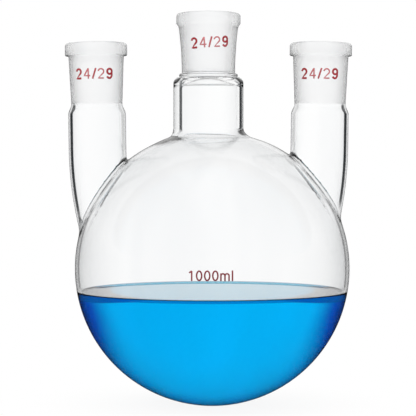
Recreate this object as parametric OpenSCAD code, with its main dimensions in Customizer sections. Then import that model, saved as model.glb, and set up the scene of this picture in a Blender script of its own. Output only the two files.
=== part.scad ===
// Three neck round bottom flask of 1000 ml in clear borosilicate glass, part filled with a blue liquid.
// Millimetres, Z up. The origin lies under the centre neck, on the level of the bulb's lowest point.

/* [Bulb] */
// Outside diameter of the bulb
bulb_d = 131; // [122:1:145]
// Glass thickness of the bulb
bulb_wall = 2; // [1.2:0.1:3]
// Sideways distance of the bulb's centre from the centre neck, as free blowing leaves it
bulb_off_x = 1.8; // [-2.5:0.1:2.5]

/* [Ground sockets] */
// Bore at the mouth of each conical socket
mouth_d = 24; // [20:0.1:25]
// Length of the ground cone, from the rim down
cone_len = 29; // [24:1:32]
// Loss of bore diameter for each millimetre of depth
cone_taper = 0.1; // [0.05:0.01:0.12]
// Chamfer at the mouth of each socket
mouth_chamfer = 0.5; // [0.2:0.1:0.8]

/* [Centre neck] */
// Height of the centre rim
centre_rim_z = 187.1; // [180:0.1:200]
// Diameter of the flared rim
centre_rim_d = 30.6; // [29:0.1:33]
// Height of the straight band round the rim
centre_rim_h = 4.9; // [4:0.1:6]
// Radius of the rounded upper edge of the rim
centre_rim_round = 1.6; // [0.5:0.1:2]
// Smallest outside diameter of the socket, at its foot
centre_socket_d = 25.4; // [25:0.1:26]
// Radius of the long hollow curve of the socket's outside
centre_socket_sweep = 170; // [140:5:220]
// Radius of the hollow under the rim
centre_flare_r = 5; // [3:0.5:7]
// Diameter of the seal ring under the socket
seal_ring_d = 28; // [27:0.1:29]
// Thickness of the seal ring
seal_ring_h = 1.8; // [1.2:0.1:2.2]
// Outside diameter of the straight tube
centre_tube_d = 33.4; // [31:0.1:36]
// Glass thickness of the straight tube
centre_wall = 2.6; // [1.8:0.1:3]
// Distance of the tube's shoulder below the foot of the socket's cone
centre_shoulder_drop = 1.3; // [1:0.1:4]
// Glass thickness of the shoulder
centre_shoulder_wall = 1.2; // [1:0.1:2.6]
// Radius of the shoulder's outer edge
centre_shoulder_r = 3.2; // [2.5:0.1:4]
// Radius of the bore's upper edge, inside the shoulder
centre_bore_round = 4; // [2.5:0.1:5]
// Radius of the hollow weld between the tube and the bulb
centre_weld_r = 5; // [3:0.5:7]

/* [Side necks] */
// Distance of each side neck from the centre neck, where its bend starts
side_x = 52.95; // [50:0.05:54.5]
// Height of each side rim
side_rim_z = 172.9; // [168:0.1:178]
// Height where the bend towards the bulb starts
side_bend_z = 122.2; // [118:0.1:126]
// Radius of the bend, at the axis of the neck
side_bend_r = 151; // [140:1:165]
// Lean of each side neck away from the centre neck, in degrees
side_lean = 0.8; // [0:0.1:2]
// Diameter of the square rim
side_rim_d = 29.6; // [28.5:0.1:32]
// Height of the square rim
side_rim_h = 6; // [4:0.1:8]
// Radius of the rounded upper edge of the rim
side_rim_round = 1.5; // [0.5:0.1:2]
// Outside diameter of the socket under the rim
side_socket_top_d = 26.3; // [26:0.1:27.5]
// Outside diameter of the socket at its foot
side_socket_foot_d = 24.3; // [24:0.1:26]
// Height of the slope from the socket out to the tube
side_shoulder_h = 5; // [4:0.1:7]
// Outside diameter of the tube
side_tube_d = 27.4; // [26.8:0.1:29]
// Glass thickness of the tube
side_wall = 2; // [1.5:0.1:2.4]

/* [Liquid] */
// Height of the liquid's surface
liquid_z = 53.7; // [20:0.1:90]
// Clearance between the liquid and the glass, so that the two solids stay apart
liquid_gap = 0.1; // [0.05:0.05:0.5]

/* [Hidden] */
$fn = 96;
// Overlap that makes stacked solids join
lap = 0.5;
// How far a weld starts below the surface that it lies on, so that it runs in and leaves no step
weld_sink = 0.2;
bulb_r = bulb_d / 2;
cavity_r = bulb_r - bulb_wall;
mouth_r = mouth_d / 2;
throat_r = mouth_r - cone_taper * cone_len / 2;
centre_rim_r = centre_rim_d / 2;
centre_socket_r = centre_socket_d / 2;
centre_tube_r = centre_tube_d / 2;
centre_bore_r = centre_tube_r - centre_wall;
centre_foot_z = centre_rim_z - cone_len;
centre_shoulder_z = centre_foot_z - centre_shoulder_drop;
// Height of the hollow under the rim, down to where the long sweep takes over
centre_flare_h = 0.55 * centre_flare_r;
side_tube_r = side_tube_d / 2;
side_bore_r = side_tube_r - side_wall;
// Length of a side neck above its bend
side_len = (side_rim_z - side_bend_z) / cos(side_lean);
// Angle at which the side neck has run right into the bulb's cavity
side_bend_angle = 22;

// Square of the given size with its outer upper corner rounded, from the axis outwards
module rounded_top(r, h, corner_r) {
    square([r, h - corner_r]);
    square([r - corner_r, h]);
    translate([r - corner_r, h - corner_r]) circle(r = corner_r);
}

// Half section that swells from radius r_top down to radius r_foot in a smooth double curve of height h
module s_slope(r_top, r_foot, h) {
    step = r_foot - r_top;
    curve_r = (h * h + step * step) / (4 * step);
    square([r_foot - curve_r, h]);
    intersection() {
        square([r_foot, h / 2]);
        translate([r_foot - curve_r, 0]) circle(r = curve_r);
    }
    difference() {
        translate([0, h / 2]) square([r_top + step / 2, h / 2]);
        translate([r_top + curve_r, h]) circle(r = curve_r);
    }
}

// Ground socket's cone, with its mouth at z = 0, cut into a neck
module socket_bore() {
    polygon([
        [0, lap], [mouth_r + mouth_chamfer + lap, lap], [mouth_r + mouth_chamfer, 0],
        [mouth_r - cone_taper * mouth_chamfer / 2, -mouth_chamfer],
        [throat_r, -cone_len], [0, -cone_len]
    ]);
}

// Hollow weld between a tube of radius tube_r on the centre axis and a ball of radius ball_r
module weld_skirt(tube_r, ball_r, hollow_r) {
    far_x = tube_r + hollow_r + abs(bulb_off_x);
    hollow_z = bulb_r + sqrt(pow(ball_r + hollow_r, 2) - far_x * far_x) - weld_sink;
    skirt_r = far_x * ball_r / (ball_r + hollow_r) - abs(bulb_off_x);
    difference() {
        translate([0, hollow_z - 2 * hollow_r]) square([skirt_r, 2 * hollow_r]);
        translate([tube_r + hollow_r, hollow_z]) circle(r = hollow_r);
    }
}

// Outer half section of the centre neck, from the bulb up to the rim
module centre_outside() {
    // The sweep and the hollow under the rim have the same slope where they join
    sweep_x = centre_socket_r + centre_socket_sweep;
    hollow_top = centre_rim_z - centre_rim_h;
    join_z = hollow_top - centre_flare_h;
    join_angle = asin((join_z - centre_foot_z) / centre_socket_sweep);
    hollow_x = sweep_x - (centre_socket_sweep - centre_flare_r) * cos(join_angle);
    hollow_z = join_z - centre_flare_r * sin(join_angle);
    translate([0, hollow_top]) rounded_top(centre_rim_r, centre_rim_h, centre_rim_round);
    difference() {
        translate([0, join_z]) square([centre_rim_r, hollow_top - join_z]);
        translate([hollow_x, hollow_z]) circle(r = centre_flare_r);
    }
    difference() {
        translate([0, centre_foot_z]) square([centre_rim_r, join_z - centre_foot_z]);
        translate([sweep_x, centre_foot_z]) circle(r = centre_socket_sweep, $fn = 720);
    }
    translate([0, centre_shoulder_z]) square([centre_socket_r, centre_shoulder_drop]);
    // Seal ring on the shoulder, where the socket is melted onto the tube
    translate([0, centre_shoulder_z - weld_sink]) {
        square([(seal_ring_d - seal_ring_h) / 2, seal_ring_h]);
        translate([(seal_ring_d - seal_ring_h) / 2, seal_ring_h / 2]) circle(d = seal_ring_h);
    }
    translate([0, bulb_r]) rounded_top(centre_tube_r, centre_shoulder_z - bulb_r, centre_shoulder_r);
    weld_skirt(centre_tube_r, bulb_r, centre_weld_r);
}

// Half section of the space inside the centre neck
module centre_inside() {
    roof_z = centre_shoulder_z - centre_shoulder_wall;
    translate([0, centre_rim_z]) socket_bore();
    translate([0, roof_z - lap]) square([throat_r, centre_foot_z - roof_z + 2 * lap]);
    translate([0, bulb_r]) rounded_top(centre_bore_r, roof_z - bulb_r, centre_bore_round);
    weld_skirt(centre_bore_r, cavity_r, centre_weld_r + bulb_wall);
}

// Outer half section of a side neck above its bend, which is at z = 0
module side_outside() {
    foot_z = side_len - cone_len;
    translate([0, side_len - side_rim_h]) rounded_top(side_rim_d / 2, side_rim_h, side_rim_round);
    polygon([
        [0, foot_z], [side_socket_foot_d / 2, foot_z],
        [side_socket_top_d / 2, side_len - side_rim_h], [0, side_len - side_rim_h]
    ]);
    translate([0, foot_z - side_shoulder_h]) s_slope(side_socket_foot_d / 2, side_tube_r, side_shoulder_h);
    square([side_tube_r, foot_z - side_shoulder_h]);
}

// Half section of the space inside a side neck above its bend
module side_inside() {
    foot_z = side_len - cone_len;
    translate([0, side_len]) socket_bore();
    translate([0, foot_z - side_shoulder_h]) s_slope(throat_r, side_bore_r, side_shoulder_h);
    square([side_bore_r, foot_z - side_shoulder_h]);
}

// Round bar of radius r that bends down from z = 0 towards -X, into the bulb
module neck_bend(r) {
    translate([-side_bend_r, 0, 0])
        rotate([-90, 0, 0])
            rotate_extrude(angle = side_bend_angle)
                translate([side_bend_r, 0]) circle(r = r);
}

// Puts its children at both side necks, with their own z = 0 at the start of the bend
module at_side_necks() {
    for (hand = [0, 1])
        mirror([hand, 0, 0])
            translate([side_x, 0, side_bend_z])
                rotate([0, side_lean, 0])
                    children();
}

module glass_outside() {
    translate([bulb_off_x, 0, bulb_r]) sphere(r = bulb_r);
    rotate_extrude() centre_outside();
    at_side_necks() {
        rotate_extrude() side_outside();
        neck_bend(side_tube_r);
    }
}

module glass_inside() {
    translate([bulb_off_x, 0, bulb_r]) sphere(r = cavity_r);
    rotate_extrude() centre_inside();
    at_side_necks() {
        rotate_extrude() side_inside();
        neck_bend(side_bore_r);
    }
}

// The blown glass, one piece from the bulb to the three sockets
module flask() {
    color([0.88, 0.93, 0.95, 0.4])
        difference() {
            glass_outside();
            glass_inside();
        }
}

// The blue liquid that lies in the lower part of the bulb
module liquid() {
    color([0.0, 0.55, 0.95])
        intersection() {
            translate([bulb_off_x, 0, bulb_r]) sphere(r = cavity_r - liquid_gap);
            translate([bulb_off_x - bulb_r, -bulb_r, 0]) cube([bulb_d, bulb_d, liquid_z]);
        }
}

flask();
liquid();
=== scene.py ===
"""Looks of a three neck round bottom flask, part filled with a blue liquid.

Shapes are made in millimetres, and each finished piece is brought to metres.
"""

import math

import bmesh
import bpy
import numpy as np
from mathutils import Matrix, Vector


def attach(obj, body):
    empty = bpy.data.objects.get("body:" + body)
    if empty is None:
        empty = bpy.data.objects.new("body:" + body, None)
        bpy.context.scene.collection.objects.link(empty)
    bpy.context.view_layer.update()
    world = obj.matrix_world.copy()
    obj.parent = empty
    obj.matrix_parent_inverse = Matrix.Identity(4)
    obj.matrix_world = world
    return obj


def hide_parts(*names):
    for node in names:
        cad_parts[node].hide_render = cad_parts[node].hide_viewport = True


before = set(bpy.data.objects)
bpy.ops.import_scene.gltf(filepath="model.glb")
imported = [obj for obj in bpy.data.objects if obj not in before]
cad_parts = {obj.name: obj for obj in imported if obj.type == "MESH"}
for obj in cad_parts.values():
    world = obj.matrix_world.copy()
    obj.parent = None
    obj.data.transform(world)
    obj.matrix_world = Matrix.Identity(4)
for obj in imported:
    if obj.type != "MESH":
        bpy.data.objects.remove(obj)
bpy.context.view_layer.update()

MM = 0.001
BODY = "root"

# The glass has the same sizes as the solids. First the bulb
BULB_R = 65.5
BULB_WALL = 2.0
BULB_X = 1.8
BULB = Vector((BULB_X, 0, BULB_R))
CAVITY_R = BULB_R - BULB_WALL

# Ground cones and their fire polished lips
MOUTH_R = 12.0
CONE_LEN = 29.0
CONE_TAPER = 0.05
THROAT_R = MOUTH_R - CONE_LEN * CONE_TAPER
THROAT_ROUND = 0.6
LIP_R = 0.7
POLISHED_DEPTH = 0.4
RIM_EDGE = 0.25
# How far a space that is cut out stands over its rim
CUT_RISE = 1.0

# Centre neck
CENTRE_RIM_Z = 187.1
CENTRE_RIM_R = 15.3
CENTRE_RIM_H = 4.9
CENTRE_RIM_ROUND = 1.6
CENTRE_SOCKET_R = 12.7
CENTRE_SWEEP = 170.0
CENTRE_FLARE_R = 5.0
CENTRE_TUBE_R = 16.7
CENTRE_BORE_R = 14.1
CENTRE_BORE_ROUND = 4.0
CENTRE_WELD_R = 5.0
CENTRE_SHOULDER_R = 3.2
CENTRE_SHOULDER_DROP = 1.3
CENTRE_SHOULDER_WALL = 1.2
CENTRE_FOOT_Z = CENTRE_RIM_Z - CONE_LEN
CENTRE_SHOULDER_Z = CENTRE_FOOT_Z - CENTRE_SHOULDER_DROP
CENTRE_ROOF_Z = CENTRE_SHOULDER_Z - CENTRE_SHOULDER_WALL
SEAL_RING_D = 28.0
SEAL_RING_R = 0.9
SEAL_RING_SINK = 0.2
SEAL_RING_X = SEAL_RING_D / 2 - SEAL_RING_R
SEAL_RING_Z = CENTRE_SHOULDER_Z - SEAL_RING_SINK + SEAL_RING_R
# Heights between which the bulb's sideways place fades out, and where the plain tube starts
SHIFT_START_Z = 124.0
SHIFT_END_Z = 132.0
TUBE_START_Z = 134.0

# Side necks
SIDE_X = 52.95
SIDE_START_X = 30.0
SIDE_RIM_Z = 172.9
SIDE_BEND_Z = 122.2
SIDE_BEND_R = 151.0
SIDE_LEAN = math.radians(0.8)
SIDE_RIM_R = 14.8
SIDE_RIM_H = 6.0
SIDE_RIM_ROUND = 1.5
SIDE_FLARE_R = 0.6
SIDE_SOCKET_TOP_R = 13.15
SIDE_SOCKET_FOOT_R = 12.15
SIDE_TUBE_R = 13.7
SIDE_BORE_R = 11.7
SIDE_SLOPE_H = 5.0
SIDE_LEN = (SIDE_RIM_Z - SIDE_BEND_Z) / math.cos(SIDE_LEAN)

# Radii of the bulb and of the side necks on each side of the wall
OUTSIDE = (BULB_R, SIDE_TUBE_R)
INSIDE = (CAVITY_R, SIDE_BORE_R)

# Liquid. Its rim climbs the wall. A band of painted shade along the rim, on the wetted wall, has a foot that
# sags towards the sides
LIQUID_Z = 53.7
LIQUID_LAP = 0.12
LEVEL_RISE = 0.65
LEVEL_Z = LIQUID_Z + LEVEL_RISE
MENISCUS_H = 0.7
MENISCUS_W = 0.9
MENISCUS_REACH = 9.0
BAND_Z = 53.2
BAND_EDGE = 0.4
BAND_SAG = 1.9

# Enamel of the size marks: where each mark sits, how far over the glass, and how flat its strokes are
VOLUME_MARK_X = -0.7
VOLUME_MARK_UP = 0.5
SIDE_MARK_Z = 157.85
CENTRE_MARK_X = 0.64
CENTRE_MARK_Z = 172.6
CENTRE_MARK_TILT = math.radians(3.2)
ENAMEL_LIFT = 0.05
ENAMEL_FLAT = 0.4

# How finely round things are divided, and how soft and fine the side necks' welds are
BULB_STEPS = 160
BULB_RINGS = 76
NECK_STEPS = 112
WELD_BLEND = 1.8
WELD_EDGE = 0.75

# Optics
GLASS_IOR = 1.47
LIQUID_IOR = 1.33
WHITE = (1, 1, 1, 1)

# Camera: its place in metres, the degrees that it dips, its sensor, and its focal length and width in pixels
CAMERA_PLACE = (-0.0002, -0.82, 0.1142)
CAMERA_DIP = 1.392
CAMERA_SENSOR = 36
FOCAL_PIXELS = 1715.9
WIDTH_PIXELS = 416
# Spot that the lamps point at, in metres
LAMP_AIM = Vector((0, 0, 0.09))


# ---------------------------------------------------------------- outlines

def smooth_step(value, low, high):
    """Share from 0 to 1 that a value, or each value of an array, has come from low to high, eased at both."""
    t = np.clip((value - low) / (high - low), 0, 1)
    return t * t * (3 - 2 * t)


def arc(x, z, r, start, end, steps, tall=1.0):
    """Points on an arc about (x, z) between two angles in degrees, stretched upwards by tall."""
    angles = np.radians(np.linspace(start, end, steps + 1))
    return [(x + r * math.cos(a), z + r * tall * math.sin(a)) for a in angles]


def line(start, end, steps=1):
    """Points from one to the other, both included."""
    return [tuple(p) for p in np.linspace(start, end, steps + 1)]


def slope(r_top, r_foot, z_foot, h, steps=8):
    """Double curve that runs from the foot up and in to the top, or out if r_top is larger."""
    heights = np.linspace(0, 1, 2 * steps + 1)
    return [(r_foot + (r_top - r_foot) * smooth_step(t, 0, 1), z_foot + h * t) for t in heights]


def weld(tube_r, ball_r, hollow_r):
    """Ball's outline from its lowest point, and the hollow that turns it into a tube, going up."""
    hollow_x = tube_r + hollow_r
    hollow_z = BULB_R + math.sqrt((ball_r + hollow_r) ** 2 - hollow_x ** 2)
    meet = math.degrees(math.atan2(hollow_z - BULB_R, hollow_x))
    ball = arc(0, BULB_R, ball_r, -90, meet, BULB_RINGS)
    return ball + arc(hollow_x, hollow_z, hollow_r, 180 + meet, 180, 10)[1:]


def mouth(rim_z):
    """Ground cone and lip of a socket, going up from the foot of the cone and out past the rim."""
    lip_z = rim_z - LIP_R
    cone_top_r = MOUTH_R - LIP_R * CONE_TAPER
    cone = line((THROAT_R, rim_z - CONE_LEN), (cone_top_r, lip_z), 30)
    lip = arc(cone_top_r + LIP_R, lip_z, LIP_R, 180, 92, 6)
    return cone + lip[1:] + [(MOUTH_R + LIP_R, rim_z + CUT_RISE)]


def rim(r, h, round_r, rim_z):
    """Straight band and rounded top edge of a rim, going up and in to the axis."""
    band = [(r - RIM_EDGE, rim_z - h), (r, rim_z - h + RIM_EDGE)]
    top = arc(r - round_r, rim_z - round_r, round_r, 0, 90, 8)
    return band + top + [(MOUTH_R, rim_z), (0, rim_z)]


def centre_socket():
    """Outline of the centre socket: the long hollow sweep, the tight hollow under the rim, and the rim."""
    band_z = CENTRE_RIM_Z - CENTRE_RIM_H
    join_z = band_z - 0.55 * CENTRE_FLARE_R
    join = math.degrees(math.asin((join_z - CENTRE_FOOT_Z) / CENTRE_SWEEP))
    sweep_x = CENTRE_SOCKET_R + CENTRE_SWEEP
    hollow_x = sweep_x - (CENTRE_SWEEP - CENTRE_FLARE_R) * math.cos(math.radians(join))
    hollow_z = join_z - CENTRE_FLARE_R * math.sin(math.radians(join))
    top = math.degrees(math.asin((band_z - hollow_z) / CENTRE_FLARE_R))
    return (
        arc(sweep_x, CENTRE_FOOT_Z, CENTRE_SWEEP, 180 - 0.12, 180 - join, 24)
        + arc(hollow_x, hollow_z, CENTRE_FLARE_R, 180 - join, 180 - top, 8)[1:]
        + rim(CENTRE_RIM_R, CENTRE_RIM_H, CENTRE_RIM_ROUND, CENTRE_RIM_Z)[1:]
    )


def centre_outside():
    """Outline of the bulb and the centre neck, from the lowest point to the middle of the closed mouth."""
    round_z = CENTRE_SHOULDER_Z - CENTRE_SHOULDER_R
    return (
        weld(CENTRE_TUBE_R, BULB_R, CENTRE_WELD_R)
        + line((CENTRE_TUBE_R, TUBE_START_Z), (CENTRE_TUBE_R, round_z - 0.2), 10)
        + arc(CENTRE_TUBE_R - CENTRE_SHOULDER_R, round_z, CENTRE_SHOULDER_R, 0, 84, 10)
        + arc(SEAL_RING_X, SEAL_RING_Z, SEAL_RING_R, -48, 90, 10)
        + [(SEAL_RING_X - 0.3, SEAL_RING_Z + SEAL_RING_R - 0.02)]
        + centre_socket()
    )


def centre_inside():
    """Outline of the space in the bulb and the centre neck, going up."""
    round_z = CENTRE_ROOF_Z - CENTRE_BORE_ROUND
    throat_z = CENTRE_ROOF_Z + THROAT_ROUND - 0.14
    return (
        weld(CENTRE_BORE_R, CAVITY_R, CENTRE_WELD_R + BULB_WALL)
        + line((CENTRE_BORE_R, TUBE_START_Z), (CENTRE_BORE_R, round_z - 0.1), 10)
        + arc(CENTRE_BORE_R - CENTRE_BORE_ROUND, round_z, CENTRE_BORE_ROUND, 0, 72, 10)
        + arc(THROAT_R + THROAT_ROUND, throat_z, THROAT_ROUND, 270, 180, 5)
        + mouth(CENTRE_RIM_Z)
        + [(0, CENTRE_RIM_Z + CUT_RISE)]
    )


def side_outside():
    """Outline of a side neck from the start of its bend, at z = 0, to the middle of the closed mouth."""
    foot_z = SIDE_LEN - CONE_LEN
    flare_z = SIDE_LEN - SIDE_RIM_H - SIDE_FLARE_R
    return (
        line((SIDE_TUBE_R, 0), (SIDE_TUBE_R, foot_z - SIDE_SLOPE_H), 8)[:-1]
        + slope(SIDE_SOCKET_FOOT_R, SIDE_TUBE_R, foot_z - SIDE_SLOPE_H, SIDE_SLOPE_H)
        + line((SIDE_SOCKET_FOOT_R, foot_z), (SIDE_SOCKET_TOP_R, flare_z), 14)[1:]
        + arc(SIDE_SOCKET_TOP_R + SIDE_FLARE_R, flare_z, SIDE_FLARE_R, 180, 90, 4)[1:]
        + rim(SIDE_RIM_R, SIDE_RIM_H, SIDE_RIM_ROUND, SIDE_LEN)
    )


def side_inside():
    """Outline of the space in a side neck above its bend."""
    foot_z = SIDE_LEN - CONE_LEN
    return (
        line((SIDE_BORE_R, 0), (SIDE_BORE_R, foot_z - SIDE_SLOPE_H), 8)[:-1]
        + slope(THROAT_R, SIDE_BORE_R, foot_z - SIDE_SLOPE_H, SIDE_SLOPE_H)[:-1]
        + mouth(SIDE_LEN)
        + [(0, SIDE_LEN + CUT_RISE)]
    )


# ---------------------------------------------------------------- solids

def spun(outline, steps):
    """Closed mesh turned from an outline of (radius, height) points."""
    bm = bmesh.new()
    verts = [bm.verts.new((x, 0, z)) for x, z in outline]
    edges = [bm.edges.new(pair) for pair in zip(verts, verts[1:])]
    bmesh.ops.spin(
        bm, geom=verts + edges, cent=(0, 0, 0), axis=(0, 0, 1), angle=2 * math.pi, steps=steps,
        use_merge=True)
    bmesh.ops.remove_doubles(bm, verts=bm.verts, dist=1e-4)
    bmesh.ops.holes_fill(bm, edges=[e for e in bm.edges if e.is_boundary])
    bmesh.ops.recalc_face_normals(bm, faces=bm.faces)
    return bm


def bent_foot(bm, angle=22, steps=18):
    """Extrudes the lower end of a turned neck round its bend, towards -X."""
    foot = [f for f in bm.faces if all(abs(v.co.z) < 1e-4 for v in f.verts)]
    turn = Matrix.Rotation(math.radians(angle / steps), 3, "Y")
    pivot = Vector((-SIDE_BEND_R, 0, 0))
    for _ in range(steps):
        made = bmesh.ops.extrude_face_region(bm, geom=foot)
        bmesh.ops.delete(bm, geom=foot, context="FACES")
        foot = [g for g in made["geom"] if isinstance(g, bmesh.types.BMFace)]
        verts = [g for g in made["geom"] if isinstance(g, bmesh.types.BMVert)]
        bmesh.ops.rotate(bm, verts=verts, cent=pivot, matrix=turn)
    bmesh.ops.recalc_face_normals(bm, faces=bm.faces)
    return bm


def side_place(hand):
    """Matrix that puts a side neck, with its bend at the origin, on the right (1) or the left (-1)."""
    place = Matrix.Translation((SIDE_X, 0, SIDE_BEND_Z)) @ Matrix.Rotation(SIDE_LEAN, 4, "Y")
    return place if hand > 0 else Matrix.Scale(-1, 4, (1, 0, 0)) @ place


def new_object(bm, name):
    """Puts a mesh in the scene, as an object of its own."""
    mesh = bpy.data.meshes.new(name)
    bm.to_mesh(mesh)
    bm.free()
    made = bpy.data.objects.new(name, mesh)
    bpy.context.scene.collection.objects.link(made)
    return made


def combined(base, *steps):
    """Mesh of base after each (operation, object) step. The objects themselves are removed."""
    for operation, other in steps:
        cut = base.modifiers.new(operation, "BOOLEAN")
        cut.operation = operation
        cut.object = other
        cut.solver = "MANIFOLD"
    graph = bpy.context.evaluated_depsgraph_get()
    mesh = bpy.data.meshes.new_from_object(base.evaluated_get(graph))
    for made in [base] + [other for _, other in steps]:
        bpy.data.objects.remove(made)
    return mesh


def shifted_bulb(bm):
    """Moves the bulb sideways under the centre neck, fading out in the weld between them."""
    for v in bm.verts:
        v.co.x += BULB_X * (1 - smooth_step(v.co.z, SHIFT_START_Z, SHIFT_END_Z))
    return bm


def side_neck(outline, hand, name):
    """Side neck, or the space in one, turned, bent and put in its place."""
    bm = bent_foot(spun(outline, NECK_STEPS))
    bmesh.ops.transform(bm, matrix=side_place(hand), verts=bm.verts)
    bmesh.ops.recalc_face_normals(bm, faces=bm.faces)
    return new_object(bm, name)


def glass_mesh():
    """The whole wall of the flask: everything outside joined, less everything inside."""
    outside = new_object(shifted_bulb(spun(centre_outside(), BULB_STEPS)), "outside")
    inside = new_object(shifted_bulb(spun(centre_inside(), BULB_STEPS)), "inside")
    outer = [side_neck(side_outside(), hand, "neck") for hand in (-1, 1)]
    bores = [side_neck(side_inside(), hand, "bore") for hand in (-1, 1)]
    joins = [("UNION", neck) for neck in outer]
    cuts = [("DIFFERENCE", space) for space in [inside] + bores]
    return combined(outside, *joins, *cuts)


# ---------------------------------------------------------------- welds

def side_local(p):
    """Points in the frame of the nearer side neck: across, front to back, and height above its bend."""
    q = p.copy()
    q[:, 0] = np.abs(q[:, 0]) - SIDE_X
    q[:, 2] -= SIDE_BEND_Z
    return q @ np.array(Matrix.Rotation(-SIDE_LEAN, 3, "Y")).T


def ball_gap(p, r):
    """Distance of each point outside a ball about the bulb's centre."""
    return np.linalg.norm(p - np.array(BULB), axis=1) - r


def neck_gap(p, r):
    """Distance of each point outside the straight and bent bar of the nearer side neck."""
    x, y, z = side_local(p).T
    bent = np.hypot(x + SIDE_BEND_R, z) - SIDE_BEND_R
    return np.hypot(np.where(z > 0, x, bent), y) - r


def blended(p, ball_r, neck_r):
    """Gap to a ball and a neck that run into each other in a soft hollow. It is zero on the surface."""
    a, b = ball_gap(p, ball_r), neck_gap(p, neck_r)
    near = np.maximum(WELD_BLEND - np.abs(a - b), 0)
    return np.minimum(a, b) - near * near / (4 * WELD_BLEND)


def in_weld(p, ball_r, neck_r):
    """Which points lie on a side neck's weld, on the side of the wall with these radii."""
    widest, skin, top_z = WELD_BLEND * 1.6, 0.9, SIDE_BEND_Z + 6
    a, b = ball_gap(p, ball_r), neck_gap(p, neck_r)
    near_both = np.maximum(np.abs(a), np.abs(b)) < widest
    on_surface = np.abs(np.minimum(a, b)) < skin
    return near_both & on_surface & (p[:, 2] < top_z) & (np.abs(p[:, 0]) > SIDE_START_X)


def weld_verts(bm):
    """Vertices in the side necks' welds, and which of them lie on the outside of the wall."""
    p = np.array([v.co for v in bm.verts])
    outside = in_weld(p, *OUTSIDE)
    found = np.flatnonzero(outside | in_weld(p, *INSIDE))
    bm.verts.ensure_lookup_table()
    return [bm.verts[i] for i in found], outside[found]


def settle(verts, surfaces, rounds=3, step=0.01, flattest=0.05):
    """Moves vertices onto the blended surface of their own side of the wall, straight down its slope."""
    points = np.array([v.co for v in verts])
    for _ in range(rounds):
        for radii, mine in surfaces:
            p = points[mine]
            ahead_and_back = [(p + way, p - way) for way in np.eye(3) * step]
            rise = np.stack([blended(a, *radii) - blended(b, *radii) for a, b in ahead_and_back], axis=1)
            rise /= 2 * step
            steep = np.maximum((rise * rise).sum(axis=1), flattest)
            points[mine] = p - rise * (blended(p, *radii) / steep)[:, None]
    for v, co in zip(verts, points):
        v.co = co


def refine_welds(bm):
    """Makes the mesh fine where the side necks meet the bulb."""
    for _ in range(3):
        zone = set(weld_verts(bm)[0])
        long = [e for e in bm.edges if all(v in zone for v in e.verts) and e.calc_length() > WELD_EDGE]
        bmesh.ops.subdivide_edges(bm, edges=long, cuts=1, use_grid_fill=False)
        faces = [f for f in bm.faces if len(f.verts) > 4 or any(v in zone for v in f.verts)]
        bmesh.ops.triangulate(bm, faces=faces)


def soften_welds(bm):
    """Rounds the joins where the side necks meet the bulb."""
    refine_welds(bm)
    for _ in range(8):
        verts, outside = weld_verts(bm)
        bmesh.ops.smooth_vert(
            bm, verts=verts, factor=0.5, use_axis_x=True, use_axis_y=True, use_axis_z=True)
        settle(verts, [(OUTSIDE, outside), (INSIDE, ~outside)])


# ---------------------------------------------------------------- shader kit

def plug(tree, socket, value):
    """Links a wire into a socket, or sets a plain value on it."""
    if isinstance(value, Wire):
        tree.links.new(value.socket, socket)
    else:
        socket.default_value = value


class Wire:
    """Output socket of a node that takes part in Python sums."""

    def __init__(self, tree, socket):
        self.tree = tree
        self.socket = socket

    def math(self, operation, *terms):
        made = self.tree.nodes.new("ShaderNodeMath")
        made.operation = operation
        for socket, term in zip(made.inputs, terms):
            plug(self.tree, socket, term)
        return Wire(self.tree, made.outputs[0])

    def __add__(self, other):
        return self.math("ADD", self, other)

    def __radd__(self, other):
        return self.math("ADD", other, self)

    def __sub__(self, other):
        return self.math("SUBTRACT", self, other)

    def __rsub__(self, other):
        return self.math("SUBTRACT", other, self)

    def __mul__(self, other):
        return self.math("MULTIPLY", self, other)

    def __rmul__(self, other):
        return self.math("MULTIPLY", other, self)

    def __truediv__(self, other):
        return self.math("DIVIDE", self, other)

    def __rtruediv__(self, other):
        return self.math("DIVIDE", other, self)

    def __pow__(self, other):
        return self.math("POWER", self, other)


class Recipe:
    """Node tree of one finish, made node by node."""

    def __init__(self, owner):
        owner.use_nodes = True
        self.tree = owner.node_tree
        self.tree.nodes.clear()

    def node(self, kind, settings=None, inputs=None, output=0):
        """Makes a node, sets it up, then fills its inputs, and returns one output if it has any."""
        made = self.tree.nodes.new("ShaderNode" + kind)
        for key, value in (settings or {}).items():
            setattr(made, key, value)
        for key, value in (inputs or {}).items():
            plug(self.tree, made.inputs[key], value)
        return Wire(self.tree, made.outputs[output]) if made.outputs else None

    def ease(self, value, low, high, start=0.0, end=1.0):
        """Smooth step of a value from start to end between low and high."""
        return self.node("MapRange", {"interpolation_type": "SMOOTHSTEP"}, {
            "Value": value, "From Min": low, "From Max": high, "To Min": start, "To Max": end})

    def blend(self, factor, first, second):
        """Colour between two colours."""
        return self.node("Mix", {"data_type": "RGBA"}, {0: factor, 6: first, 7: second}, 2)

    def attribute(self, name):
        return self.node("Attribute", {"attribute_name": name}, output="Fac")

    def place(self, scale=(1, 1, 1)):
        """Object coordinates, stretched for a pattern."""
        spot = self.node("TexCoord", output="Object")
        return self.node("Mapping", inputs={"Vector": spot, "Scale": scale})

    def noise(self, scale, detail, roughness, stretch=(1, 1, 1)):
        return self.node("TexNoise", inputs={
            "Vector": self.place(stretch), "Scale": scale, "Detail": detail, "Roughness": roughness})

    def bump(self, height, strength, distance):
        return self.node("Bump", inputs={"Height": height, "Strength": strength, "Distance": distance})

    def surface(self, shader):
        self.node("OutputMaterial", inputs={"Surface": shader})

    def clear(self, colour, ior, mirror, finish=None):
        """Makes the surface a clear one, which mirrors this share of the light where it is faced."""
        inputs = {"Base Color": colour, "Roughness": 0.0, "IOR": ior, "Transmission Weight": 1.0,
                  "Specular Tint": (mirror, mirror, mirror, 1)}
        self.surface(self.node("BsdfPrincipled", inputs={**inputs, **(finish or {})}))


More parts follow.
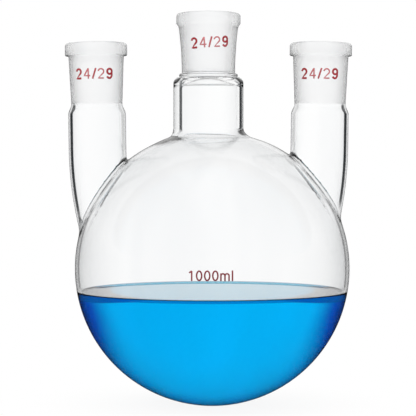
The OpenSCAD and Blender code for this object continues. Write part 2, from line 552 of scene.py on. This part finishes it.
def material(name):
    made = bpy.data.materials.new(name)
    return made, Recipe(made)


def reach(r, ior):
    """How far out on a round form a ray passes, from 0 at its middle to 1 at its outline, on either side."""
    facing = r.node("LayerWeight", inputs={"Blend": 0.5}, output="Facing")
    inside = r.node("NewGeometry", output="Backfacing")
    cosine = 1 - facing
    return (1 - cosine * cosine) ** 0.5 * (1 + inside * (ior - 1))


# ---------------------------------------------------------------- finishes

def painted_dark_line(r, out):
    """Painted dark line of shade in a wall that is seen edge on. Its place, width, softness and strength are
    marked on the wall.
    """
    depth = (out - r.attribute("wall_ratio")) / r.attribute("wall_width")
    sharp = r.ease(depth, -0.16, 0.02) * r.ease(depth, 0.42, 0.72, 1, 0)
    soft = r.ease(depth, -0.15, 0.1) * r.ease(depth, 0.12, 0.5, 1, 0)
    return (sharp + (soft - sharp) * r.attribute("wall_soft")) * r.attribute("painted_line")


def clear_glass():
    """Clear blown glass. Where a wall is seen edge on, a dark line of painted shade stands in for light that
    runs along inside it. The glass is also painted greyer towards its outlines, with painted soft vertical
    bands of light over a faint uneven tone.
    """
    made, r = material("clear_glass")
    out = reach(r, GLASS_IOR)
    frost = r.attribute("satin")
    # Faint uneven tone of the glass, and painted soft vertical bands of light over it
    tone_and_light_bands = r.ease(r.noise(34, 2, 0.5, (1, 1, 0.06)), 0.4, 0.62)
    bright = r.blend(tone_and_light_bands, (0.968, 0.972, 0.975, 1), (0.998, 1.0, 1.0, 1))
    # Painted shade: greyer glass towards the outlines, and round the edges of the satin sockets
    shade = out ** 8 * 0.26 * (1 - frost * 0.7)
    satin = r.ease(out, 0.72, 1.0) * frost * 0.12
    shaded = r.blend(shade + satin, bright, (0.45, 0.47, 0.485, 1))
    # Painted shade: a dark line where a wall is seen edge on
    colour = r.blend(painted_dark_line(r, out), shaded, (0.02, 0.024, 0.027, 1))
    waves = r.noise(28, 1, 0.4, (1, 1, 0.3))
    r.clear(colour, GLASS_IOR, 0.15, {"Normal": r.bump(waves, 0.12, 0.0004)})
    return made


def ground_glass():
    """Inside of the sockets, ground to a white frost."""
    made, r = material("ground_glass")
    grain = r.noise(900, 3, 0.6)
    lap = r.ease(r.noise(60, 2, 0.5, (1, 1, 0.25)), 0.3, 0.75)
    colour = r.blend(lap, (0.98, 0.983, 0.987, 1), WHITE)
    frost = {"Roughness": r.ease(grain, 0.2, 0.8, 0.36, 0.48), "Normal": r.bump(grain, 0.25, 0.0001)}
    r.clear(colour, GLASS_IOR, 0.1, frost)
    return made


def blue_mass(r, out, height, entering):
    """Azure where the liquid is faced, and painted shade of deep blue, then navy, where it is seen edge on.
    """
    low = r.ease(height, 12 * MM, 48 * MM, 0.1, 0.0)
    drift = r.ease(r.noise(9, 1, 0.4), 0.35, 0.65)
    azure = r.blend(drift, (0.0, 0.42, 0.92, 1), (0.0, 0.46, 0.97, 1))
    # Painted shade: deep blue, then navy, towards the liquid's outline, narrower near the bottom
    deep = r.blend(entering * r.ease(out - low, 0.54, 0.66), azure, (0.0, 0.02, 0.42, 1))
    return r.blend(entering * r.ease(out - low, 0.655, 0.70), deep, (0.0, 0.004, 0.08, 1))


def rim_band_shade(r, out, height, entering):
    """Where the band of painted shade along the liquid's rim shows on the wetted wall, and its colour."""
    sagged = height + r.ease(out, 0.4, 0.68) * (BAND_SAG * MM)
    above_foot = r.ease(sagged, BAND_Z * MM, (BAND_Z + BAND_EDGE) * MM)
    colour = r.blend(r.ease(out, 0.3, 0.5), (0.0, 0.11, 0.42, 1), (0.0, 0.028, 0.24, 1))
    return entering * r.attribute("wet_wall") * above_foot, colour


def blue_liquid():
    """Clear blue water, paler in the thin film that climbs the glass. Its flat top is tinted grey as a
    painted reflection, and its outline and rim band carry painted shade.
    """
    made, r = material("blue_liquid")
    out = reach(r, LIQUID_IOR)
    height = r.node("SeparateXYZ", inputs={"Vector": r.node("TexCoord", output="Object")}, output="Z")
    entering = 1 - r.node("NewGeometry", output="Backfacing")
    mass = blue_mass(r, out, height, entering)
    # Painted reflection: the flat top is tinted pale grey
    with_top_reflection = r.blend(r.attribute("flat_top"), mass, (0.2, 0.24, 0.26, 1))
    film = r.blend(entering, (0.3, 0.6, 0.75, 1), (0.6, 0.55, 0.5, 1))
    climbing = r.blend(r.attribute("meniscus"), with_top_reflection, film)
    # Painted shade: a darker blue band along the liquid's rim, on the wetted wall
    band, band_shade_colour = rim_band_shade(r, out, height, entering)
    r.clear(r.blend(band, climbing, band_shade_colour), LIQUID_IOR, 0.1)
    return made


def red_enamel(name, strong, pale):
    """Fired enamel that has taken unevenly, between a strong and a pale red."""
    made, r = material(name)
    thin = r.attribute("wear") + r.ease(r.noise(260, 2, 0.5), 0.42, 0.66, -0.1, 0.2)
    grain = r.noise(1500, 2, 0.6)
    r.surface(r.node("BsdfPrincipled", inputs={
        "Base Color": r.blend(thin, strong, pale),
        "Roughness": r.ease(grain, 0.2, 0.8, 0.35, 0.5),
        "Normal": r.bump(grain, 0.2, 0.00005)}))
    return made


# ---------------------------------------------------------------- pieces

def finished(bm, name, node, materials):
    """Turns a mesh in millimetres into a piece of the part, at the origin."""
    bmesh.ops.scale(bm, vec=(MM, MM, MM), verts=bm.verts)
    for face in bm.faces:
        face.smooth = True
    piece = new_object(bm, name)
    for made in materials:
        piece.data.materials.append(made)
    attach(piece, BODY)
    if node:
        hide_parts(node)


def over_glass(p):
    """How far each point lies outside the bulb, and outside the nearer side neck."""
    return np.maximum(ball_gap(p, BULB_R), 0), np.maximum(neck_gap(p, SIDE_TUBE_R), 0)


def wall_shares(p):
    """How far each point belongs to a side neck, and how far to the centre neck. The rest is the bulb."""
    blur, weld_foot_r, weld_z, tube_z = 0.3, 24, 128.5, 131
    over_ball, over_neck = over_glass(p)
    in_side = (np.abs(p[:, 0]) > SIDE_START_X) * over_ball / (over_ball + over_neck + blur)
    in_centre = (np.hypot(p[:, 0], p[:, 1]) < weld_foot_r) * smooth_step(p[:, 2], weld_z, tube_z)
    return in_side, in_centre


def wall_forms(p, in_side, in_centre):
    """Inner to outer radius of each point's wall, and how wide its painted dark line is."""
    bulb_ratio, side_ratio = CAVITY_R / BULB_R, SIDE_BORE_R / SIDE_TUBE_R
    centre_ratio = 0.826 + 0.075 * p[:, 0] / CENTRE_TUBE_R
    centre_width = 0.125
    ratio = bulb_ratio + (side_ratio - bulb_ratio) * in_side
    width = (1 - ratio) + (centre_width - 1 + ratio) * in_centre
    return ratio + (centre_ratio - ratio) * in_centre, width


def line_strength(p, normals, in_side, in_centre):
    """How strong the painted dark line is on upright glass, away from the liquid, the welds and the socket.
    """
    z = p[:, 2]
    on_bulb_wall, side_inward, side_gain = 0.62, 0.28, 0.72
    shoulder = in_centre * smooth_step(z, CENTRE_SHOULDER_Z - 5, CENTRE_SHOULDER_Z - 4)
    upright = np.maximum(1 - smooth_step(np.abs(normals[:, 2]), 0.35, 0.72), shoulder)
    outward = smooth_step(side_local(p)[:, 0], -SIDE_TUBE_R, SIDE_TUBE_R)
    side_change = (side_inward + side_gain * outward - on_bulb_wall) * in_side
    strength = upright * (on_bulb_wall + side_change + (1 - on_bulb_wall) * in_centre)
    off_liquid = np.where(z < BULB_R, smooth_step(z, LIQUID_Z + 1.3, LIQUID_Z + 2.8), 1)
    off_weld = 1 - in_centre * (1 - smooth_step(z, 129.5, 132))
    off_socket = 1 - smooth_step(z, CENTRE_SHOULDER_Z - 0.3, CENTRE_SHOULDER_Z + 0.1)
    near_side = (np.abs(p[:, 0]) > SIDE_START_X) & (z > 90)
    off_side_weld = np.where(near_side, smooth_step(sum(over_glass(p)), 1.0, 4.5), 1)
    return strength * off_liquid * off_weld * off_socket * off_side_weld


def is_outer(p, normals, on_neck):
    """Which points lie on the outside of the wall, where normals point away from the neck or the bulb."""
    lean_x = SIDE_X + side_local(p)[:, 2] * math.sin(SIDE_LEAN)
    axis_x = np.where(np.abs(p[:, 0]) > SIDE_START_X, np.sign(p[:, 0]) * lean_x, 0)
    middle_x = np.where(on_neck, axis_x, BULB_X)
    middle_z = np.where(on_neck, p[:, 2], BULB_R)
    away = p - np.stack([middle_x, p[:, 1] * 0, middle_z], axis=1)
    return (normals * away).sum(axis=1) > 0


def satin_share(p):
    """Where the glass is satin, which is round the ground cones."""
    side_foot = SIDE_LEN - CONE_LEN
    round_side = smooth_step(side_local(p)[:, 2], side_foot - 1, side_foot + 0.5)
    round_centre = smooth_step(p[:, 2], CENTRE_SHOULDER_Z + 0.8, CENTRE_SHOULDER_Z + 1.8)
    return np.where(np.abs(p[:, 0]) > SIDE_START_X, round_side, round_centre)


def paint_walls(bm):
    """Marks each point with its wall's form, with how strong the painted dark line of shade shows there, and
    with where the glass is satin.
    """
    bm.normal_update()
    p = np.array([v.co for v in bm.verts])
    normals = np.array([v.normal for v in bm.verts])
    in_side, in_centre = wall_shares(p)
    ratio, width = wall_forms(p, in_side, in_centre)
    outer = is_outer(p, normals, (in_side > 0.5) | (in_centre > 0.5))
    satin = satin_share(p)
    paints = {
        "wall_ratio": ratio,
        "wall_width": width,
        "wall_soft": (1 - in_side) * (1 - 0.8 * in_centre),
        # Strength of the painted dark line of shade
        "painted_line": line_strength(p, normals, in_side, in_centre) * outer * (1 - satin),
        "satin": satin,
    }
    for name, values in paints.items():
        layer = bm.verts.layers.float.new(name)
        for v, value in zip(bm.verts, values):
            v[layer] = value


def grind_sockets(bm):
    """Gives the faces inside the three cones the ground finish, below the polished lips."""
    slack = 0.25
    for face in bm.faces:
        c = face.calc_center_median()
        if abs(c.x) > SIDE_START_X:
            x, y, z = side_local(np.array([c]))[0]
            depth = SIDE_LEN - z
            ground = CONE_LEN
        else:
            x, y = c.x, c.y
            depth = CENTRE_RIM_Z - c.z
            ground = CONE_LEN - POLISHED_DEPTH
        in_cone = math.hypot(x, y) < MOUTH_R - depth * CONE_TAPER + slack
        if in_cone and POLISHED_DEPTH < depth < ground:
            face.material_index = 1


def glass_body():
    bm = bmesh.new()
    bm.from_mesh(glass_mesh())
    soften_welds(bm)
    paint_walls(bm)
    grind_sockets(bm)
    finished(bm, "glass_body", "flask", [clear_glass(), ground_glass()])


def paint_liquid(bm, wall_r, rim_r):
    """Marks the wetted wall, the flat top, and the climbing rim on both of them."""
    rim_layer = bm.verts.layers.float.new("meniscus")
    wall_layer = bm.verts.layers.float.new("wet_wall")
    top_layer = bm.verts.layers.float.new("flat_top")
    for v in bm.verts:
        on_wall = (v.co - BULB).length > wall_r - 0.05
        out = math.hypot(v.co.x - BULB_X, v.co.y)
        up_wall = smooth_step(v.co.z, LEVEL_Z - 0.6, LEVEL_Z + 0.2)
        out_to_rim = smooth_step(out, rim_r - 5.0, rim_r - 1.5)
        v[wall_layer] = float(on_wall)
        v[top_layer] = float(not on_wall)
        v[rim_layer] = float(up_wall if on_wall else out_to_rim)


def liquid_body():
    """Liquid that wets the wall. It reaches a little into the glass, and its rim climbs in a hollow curve."""
    wall_r = CAVITY_R + LIQUID_LAP
    rim_z = LEVEL_Z + MENISCUS_H
    rim_r = math.sqrt(wall_r * wall_r - (rim_z - BULB_R) ** 2)
    meet = math.degrees(math.atan2(rim_z - BULB_R, rim_r))
    inward = np.linspace(0, MENISCUS_REACH, 31)[1:]
    climb = [(rim_r - s, LEVEL_Z + MENISCUS_H * math.exp(-s / MENISCUS_W)) for s in inward]
    level = line((rim_r - MENISCUS_REACH, LEVEL_Z), (0, LEVEL_Z), 24)[1:]
    bm = spun(arc(0, BULB_R, wall_r, -90, meet, 72) + climb + level, BULB_STEPS)
    bmesh.ops.translate(bm, verts=bm.verts, vec=(BULB_X, 0, 0))
    paint_liquid(bm, wall_r, rim_r)
    for edge in bm.edges:
        edge.smooth = any(abs(v.co.z - rim_z) > 1e-3 for v in edge.verts)
    finished(bm, "liquid_body", "liquid", [blue_liquid()])


# ---------------------------------------------------------------- size marks

# Advance and strokes of each sign, one unit high
SIGNS = {
    "0": (0.744, [arc(0.30, 0.5, 0.235, 90, 450, 26, 1.85)]),
    "1": (0.73, [line((0.34, 0.95), (0.34, 0), 6), [(0.09, 0.78), (0.22, 0.84), (0.33, 0.96)]]),
    "2": (0.79, [arc(0.305, 0.68, 0.235, 172, -38, 16, 1.06) + line((0.07, 0.07), (0.56, 0.07), 5)]),
    "4": (0.79, [line((0.45, 0.98), (0.45, 0.02), 8),
                 line((0.43, 0.95), (0.07, 0.30), 6) + [(0.3, 0.3), (0.62, 0.3)]]),
    "9": (0.79, [arc(0.30, 0.69, 0.225, 0, 360, 22, 1.07),
                 [(0.525, 0.69), (0.525, 0.55)] + arc(0.285, 0.40, 0.24, 0, -150, 14, 1.375)]),
    "/": (0.46, [line((0.03, 0.01), (0.32, 0.99), 7)]),
    "m": (1.068, [line((0.07, 0), (0.07, 0.73), 5),
                  arc(0.2575, 0.5, 0.1875, 180, 0, 8) + line((0.445, 0.4), (0.445, 0), 4),
                  arc(0.6325, 0.5, 0.1875, 180, 0, 8) + line((0.82, 0.4), (0.82, 0), 4)]),
    "l": (0.14, [line((0.07, 1), (0.07, 0), 6)]),
}


def add_stroke(curve, path, x, width):
    """Adds one stroke of a sign that starts at x. It is closed where its two ends meet."""
    loop = math.dist(path[0], path[-1]) < 1e-6
    points = path[:-1] if loop else path
    spline = curve.splines.new("POLY")
    spline.points.add(len(points) - 1)
    spline.use_cyclic_u = loop
    for point, (across, up) in zip(spline.points, points):
        point.co = (x + across, up, 0, 1)
        point.radius = width / 2


def stroke_mesh(words, bold):
    """Mesh of strokes, one unit high, and where each sign ends. Each sign has its own width of stroke."""
    curve = bpy.data.curves.new("strokes", "CURVE")
    curve.dimensions = "3D"
    curve.bevel_depth = 1.0
    curve.bevel_resolution = 1
    curve.use_fill_caps = True
    ends, x = [], 0.0
    for sign, width in zip(words, bold):
        advance, strokes = SIGNS[sign]
        for path in strokes:
            add_stroke(curve, path, x, width)
        x += advance
        ends.append(x)
    made = bpy.data.objects.new("strokes", curve)
    bpy.context.scene.collection.objects.link(made)
    graph = bpy.context.evaluated_depsgraph_get()
    mesh = bpy.data.meshes.new_from_object(made.evaluated_get(graph))
    bpy.data.objects.remove(made)
    return mesh, ends


def mark(words, name, height, wide, place, finish, bold, wear):
    """Enamel size mark of flat strokes, laid on the glass by place. Each sign has its own wear."""
    mesh, ends = stroke_mesh(words, bold)
    bm = bmesh.new()
    bm.from_mesh(mesh)
    bmesh.ops.remove_doubles(bm, verts=bm.verts, dist=1e-5)
    layer = bm.verts.layers.float.new("wear")
    middle = (min(v.co.x for v in bm.verts) + max(v.co.x for v in bm.verts)) / 2
    for v in bm.verts:
        v[layer] = wear[sum(v.co.x > end for end in ends[:-1])]
        proud = ENAMEL_LIFT + ENAMEL_FLAT * v.co.z
        v.co = place((v.co.x - middle) * height * wide, (v.co.y - 0.5) * height, proud)
    bmesh.ops.recalc_face_normals(bm, faces=bm.faces)
    finished(bm, name, None, [finish])


def on_bulb(x, y, proud):
    """Spot on the front of the bulb, x across and y up from the middle of the mark."""
    turn = (x + VOLUME_MARK_X) / BULB_R
    rise = (y + VOLUME_MARK_UP) / BULB_R
    r = BULB_R + proud
    level_r = r * math.cos(rise)
    return (BULB_X + level_r * math.sin(turn), -level_r * math.cos(turn), BULB_R + r * math.sin(rise))


def on_side(hand, shift):
    """Wrap for a mark on the front of a side socket, shifted round it."""
    def place(x, y, proud):
        z = SIDE_MARK_Z - SIDE_BEND_Z + y
        up = (z - SIDE_LEN + CONE_LEN) / (CONE_LEN - SIDE_RIM_H)
        r = SIDE_SOCKET_FOOT_R + (SIDE_SOCKET_TOP_R - SIDE_SOCKET_FOOT_R) * up + proud
        turn = (x + shift) / SIDE_SOCKET_TOP_R
        return side_place(hand) @ Vector((r * math.sin(turn) * hand, -r * math.cos(turn), z))
    return place


def on_centre(x, y, proud):
    """Spot on the front of the centre socket, where the mark rises to the right."""
    cos, sin = math.cos(CENTRE_MARK_TILT), math.sin(CENTRE_MARK_TILT)
    z = CENTRE_MARK_Z + y * cos + x * sin
    sweep = math.sqrt(CENTRE_SWEEP ** 2 - (z - CENTRE_FOOT_Z) ** 2)
    r = CENTRE_SOCKET_R + CENTRE_SWEEP - sweep + proud
    turn = (x * cos - y * sin + CENTRE_MARK_X) / CENTRE_SOCKET_R
    return (r * math.sin(turn), -r * math.cos(turn), z)


def size_marks():
    """The joint size on each socket, worn between its first and last sign, and the volume on the bulb."""
    socket_red = red_enamel("socket_red", (0.34, 0.012, 0.02, 1), (0.58, 0.2, 0.21, 1))
    bulb_red = red_enamel("bulb_red", (0.2, 0.018, 0.024, 1), (0.34, 0.08, 0.09, 1))
    sockets = (("left_mark", 1.1, on_side(-1, -0.47)), ("right_mark", 1.1, on_side(1, -1.34)),
               ("centre_mark", 1.02, on_centre))
    bold, wear = (0.19, 0.13, 0.15, 0.13, 0.19), (0, 0.7, 0.35, 0.7, 0)
    for name, wide, place in sockets:
        mark("24/29", name, 5.1, wide, place, socket_red, bold, wear)
    mark("1000ml", "volume_mark", 4.7, 1.02, on_bulb, bulb_red, [0.145] * 6, (0.4, 0, 0, 0, 0, 0.2))


# ---------------------------------------------------------------- studio

def paths(r):
    """Factors that are 1 for rays to the eye, for rays through glass or gloss, and for mirrored rays."""
    names = ("Is Camera Ray", "Is Glossy Ray", "Is Transmission Ray", "Is Reflection Ray")
    camera, glossy, through, mirrored = [r.node("LightPath", output=name) for name in names]
    return camera, r.node("Math", {"operation": "MAXIMUM"}, {0: glossy, 1: through}), mirrored


def backdrop(r, kind, mirrored, room):
    """White that the eye sees, also through glass, with a room of its own strength in what is mirrored."""
    white = r.node(kind, inputs={"Color": WHITE, "Strength": 1.0})
    seen_in_mirror = r.node(kind, inputs={"Color": WHITE, "Strength": room})
    return r.node("MixShader", inputs={0: mirrored, 1: white, 2: seen_in_mirror})


def studio_world():
    """White behind the object and a plain light on it. The mirrored room is dim but for its ceiling."""
    world = bpy.data.worlds.new("studio")
    bpy.context.scene.world = world
    r = Recipe(world)
    camera, through, mirrored = paths(r)
    up = r.node("SeparateXYZ", inputs={"Vector": r.node("TexCoord", output="Generated")}, output="Z")
    plain = r.node("Background", inputs={"Color": WHITE, "Strength": 0.7})
    shown = backdrop(r, "Background", mirrored, r.ease(up, 0.03, 0.3, 0.01, 0.95))
    lit = r.node("MixShader", inputs={0: camera + through, 1: plain, 2: shown})
    r.node("OutputWorld", inputs={"Surface": lit})


def studio_floor():
    """White floor that keeps a faint shadow near the object."""
    bm = bmesh.new()
    bmesh.ops.create_circle(bm, cap_ends=True, segments=64, radius=3.0)
    floor = new_object(bm, "floor")
    made, r = material("floor_white")
    camera, through, mirrored = paths(r)
    far = r.ease(r.node("VectorMath", {"operation": "LENGTH"}, {0: r.place()}, "Value"), 0.02, 0.1)
    paint = r.node("BsdfDiffuse", inputs={"Color": (0.9, 0.9, 0.9, 1)})
    shown = backdrop(r, "Emission", mirrored, 0.01)
    share = through + camera * (0.91 + 0.09 * far)
    r.surface(r.node("MixShader", inputs={0: share, 1: paint, 2: shown}))
    floor.data.materials.append(made)


def soft_box(name, place, size, watts):
    """Square lamp that points at the object and isn't seen in the glass."""
    lamp = bpy.data.objects.new(name, bpy.data.lights.new(name, "AREA"))
    lamp.data.size = size
    lamp.data.energy = watts
    bpy.context.scene.collection.objects.link(lamp)
    lamp.location = place
    lamp.rotation_euler = (LAMP_AIM - lamp.location).to_track_quat("-Z", "Y").to_euler()
    lamp.visible_glossy = False
    lamp.visible_transmission = False


def studio_camera():
    scene = bpy.context.scene
    camera = bpy.data.objects.new("camera", bpy.data.cameras.new("camera"))
    scene.collection.objects.link(camera)
    scene.camera = camera
    camera.location = CAMERA_PLACE
    camera.rotation_euler = (math.radians(90 - CAMERA_DIP), 0, 0)
    camera.data.sensor_width = CAMERA_SENSOR
    camera.data.lens = CAMERA_SENSOR * FOCAL_PIXELS / WIDTH_PIXELS
    scene.view_settings.view_transform = "Standard"


glass_body()
liquid_body()
size_marks()

studio_world()
studio_floor()
soft_box("key", (-0.7, -0.6, 0.8), 0.6, 6)
soft_box("fill", (0.8, -0.5, 0.5), 0.8, 4)
studio_camera()
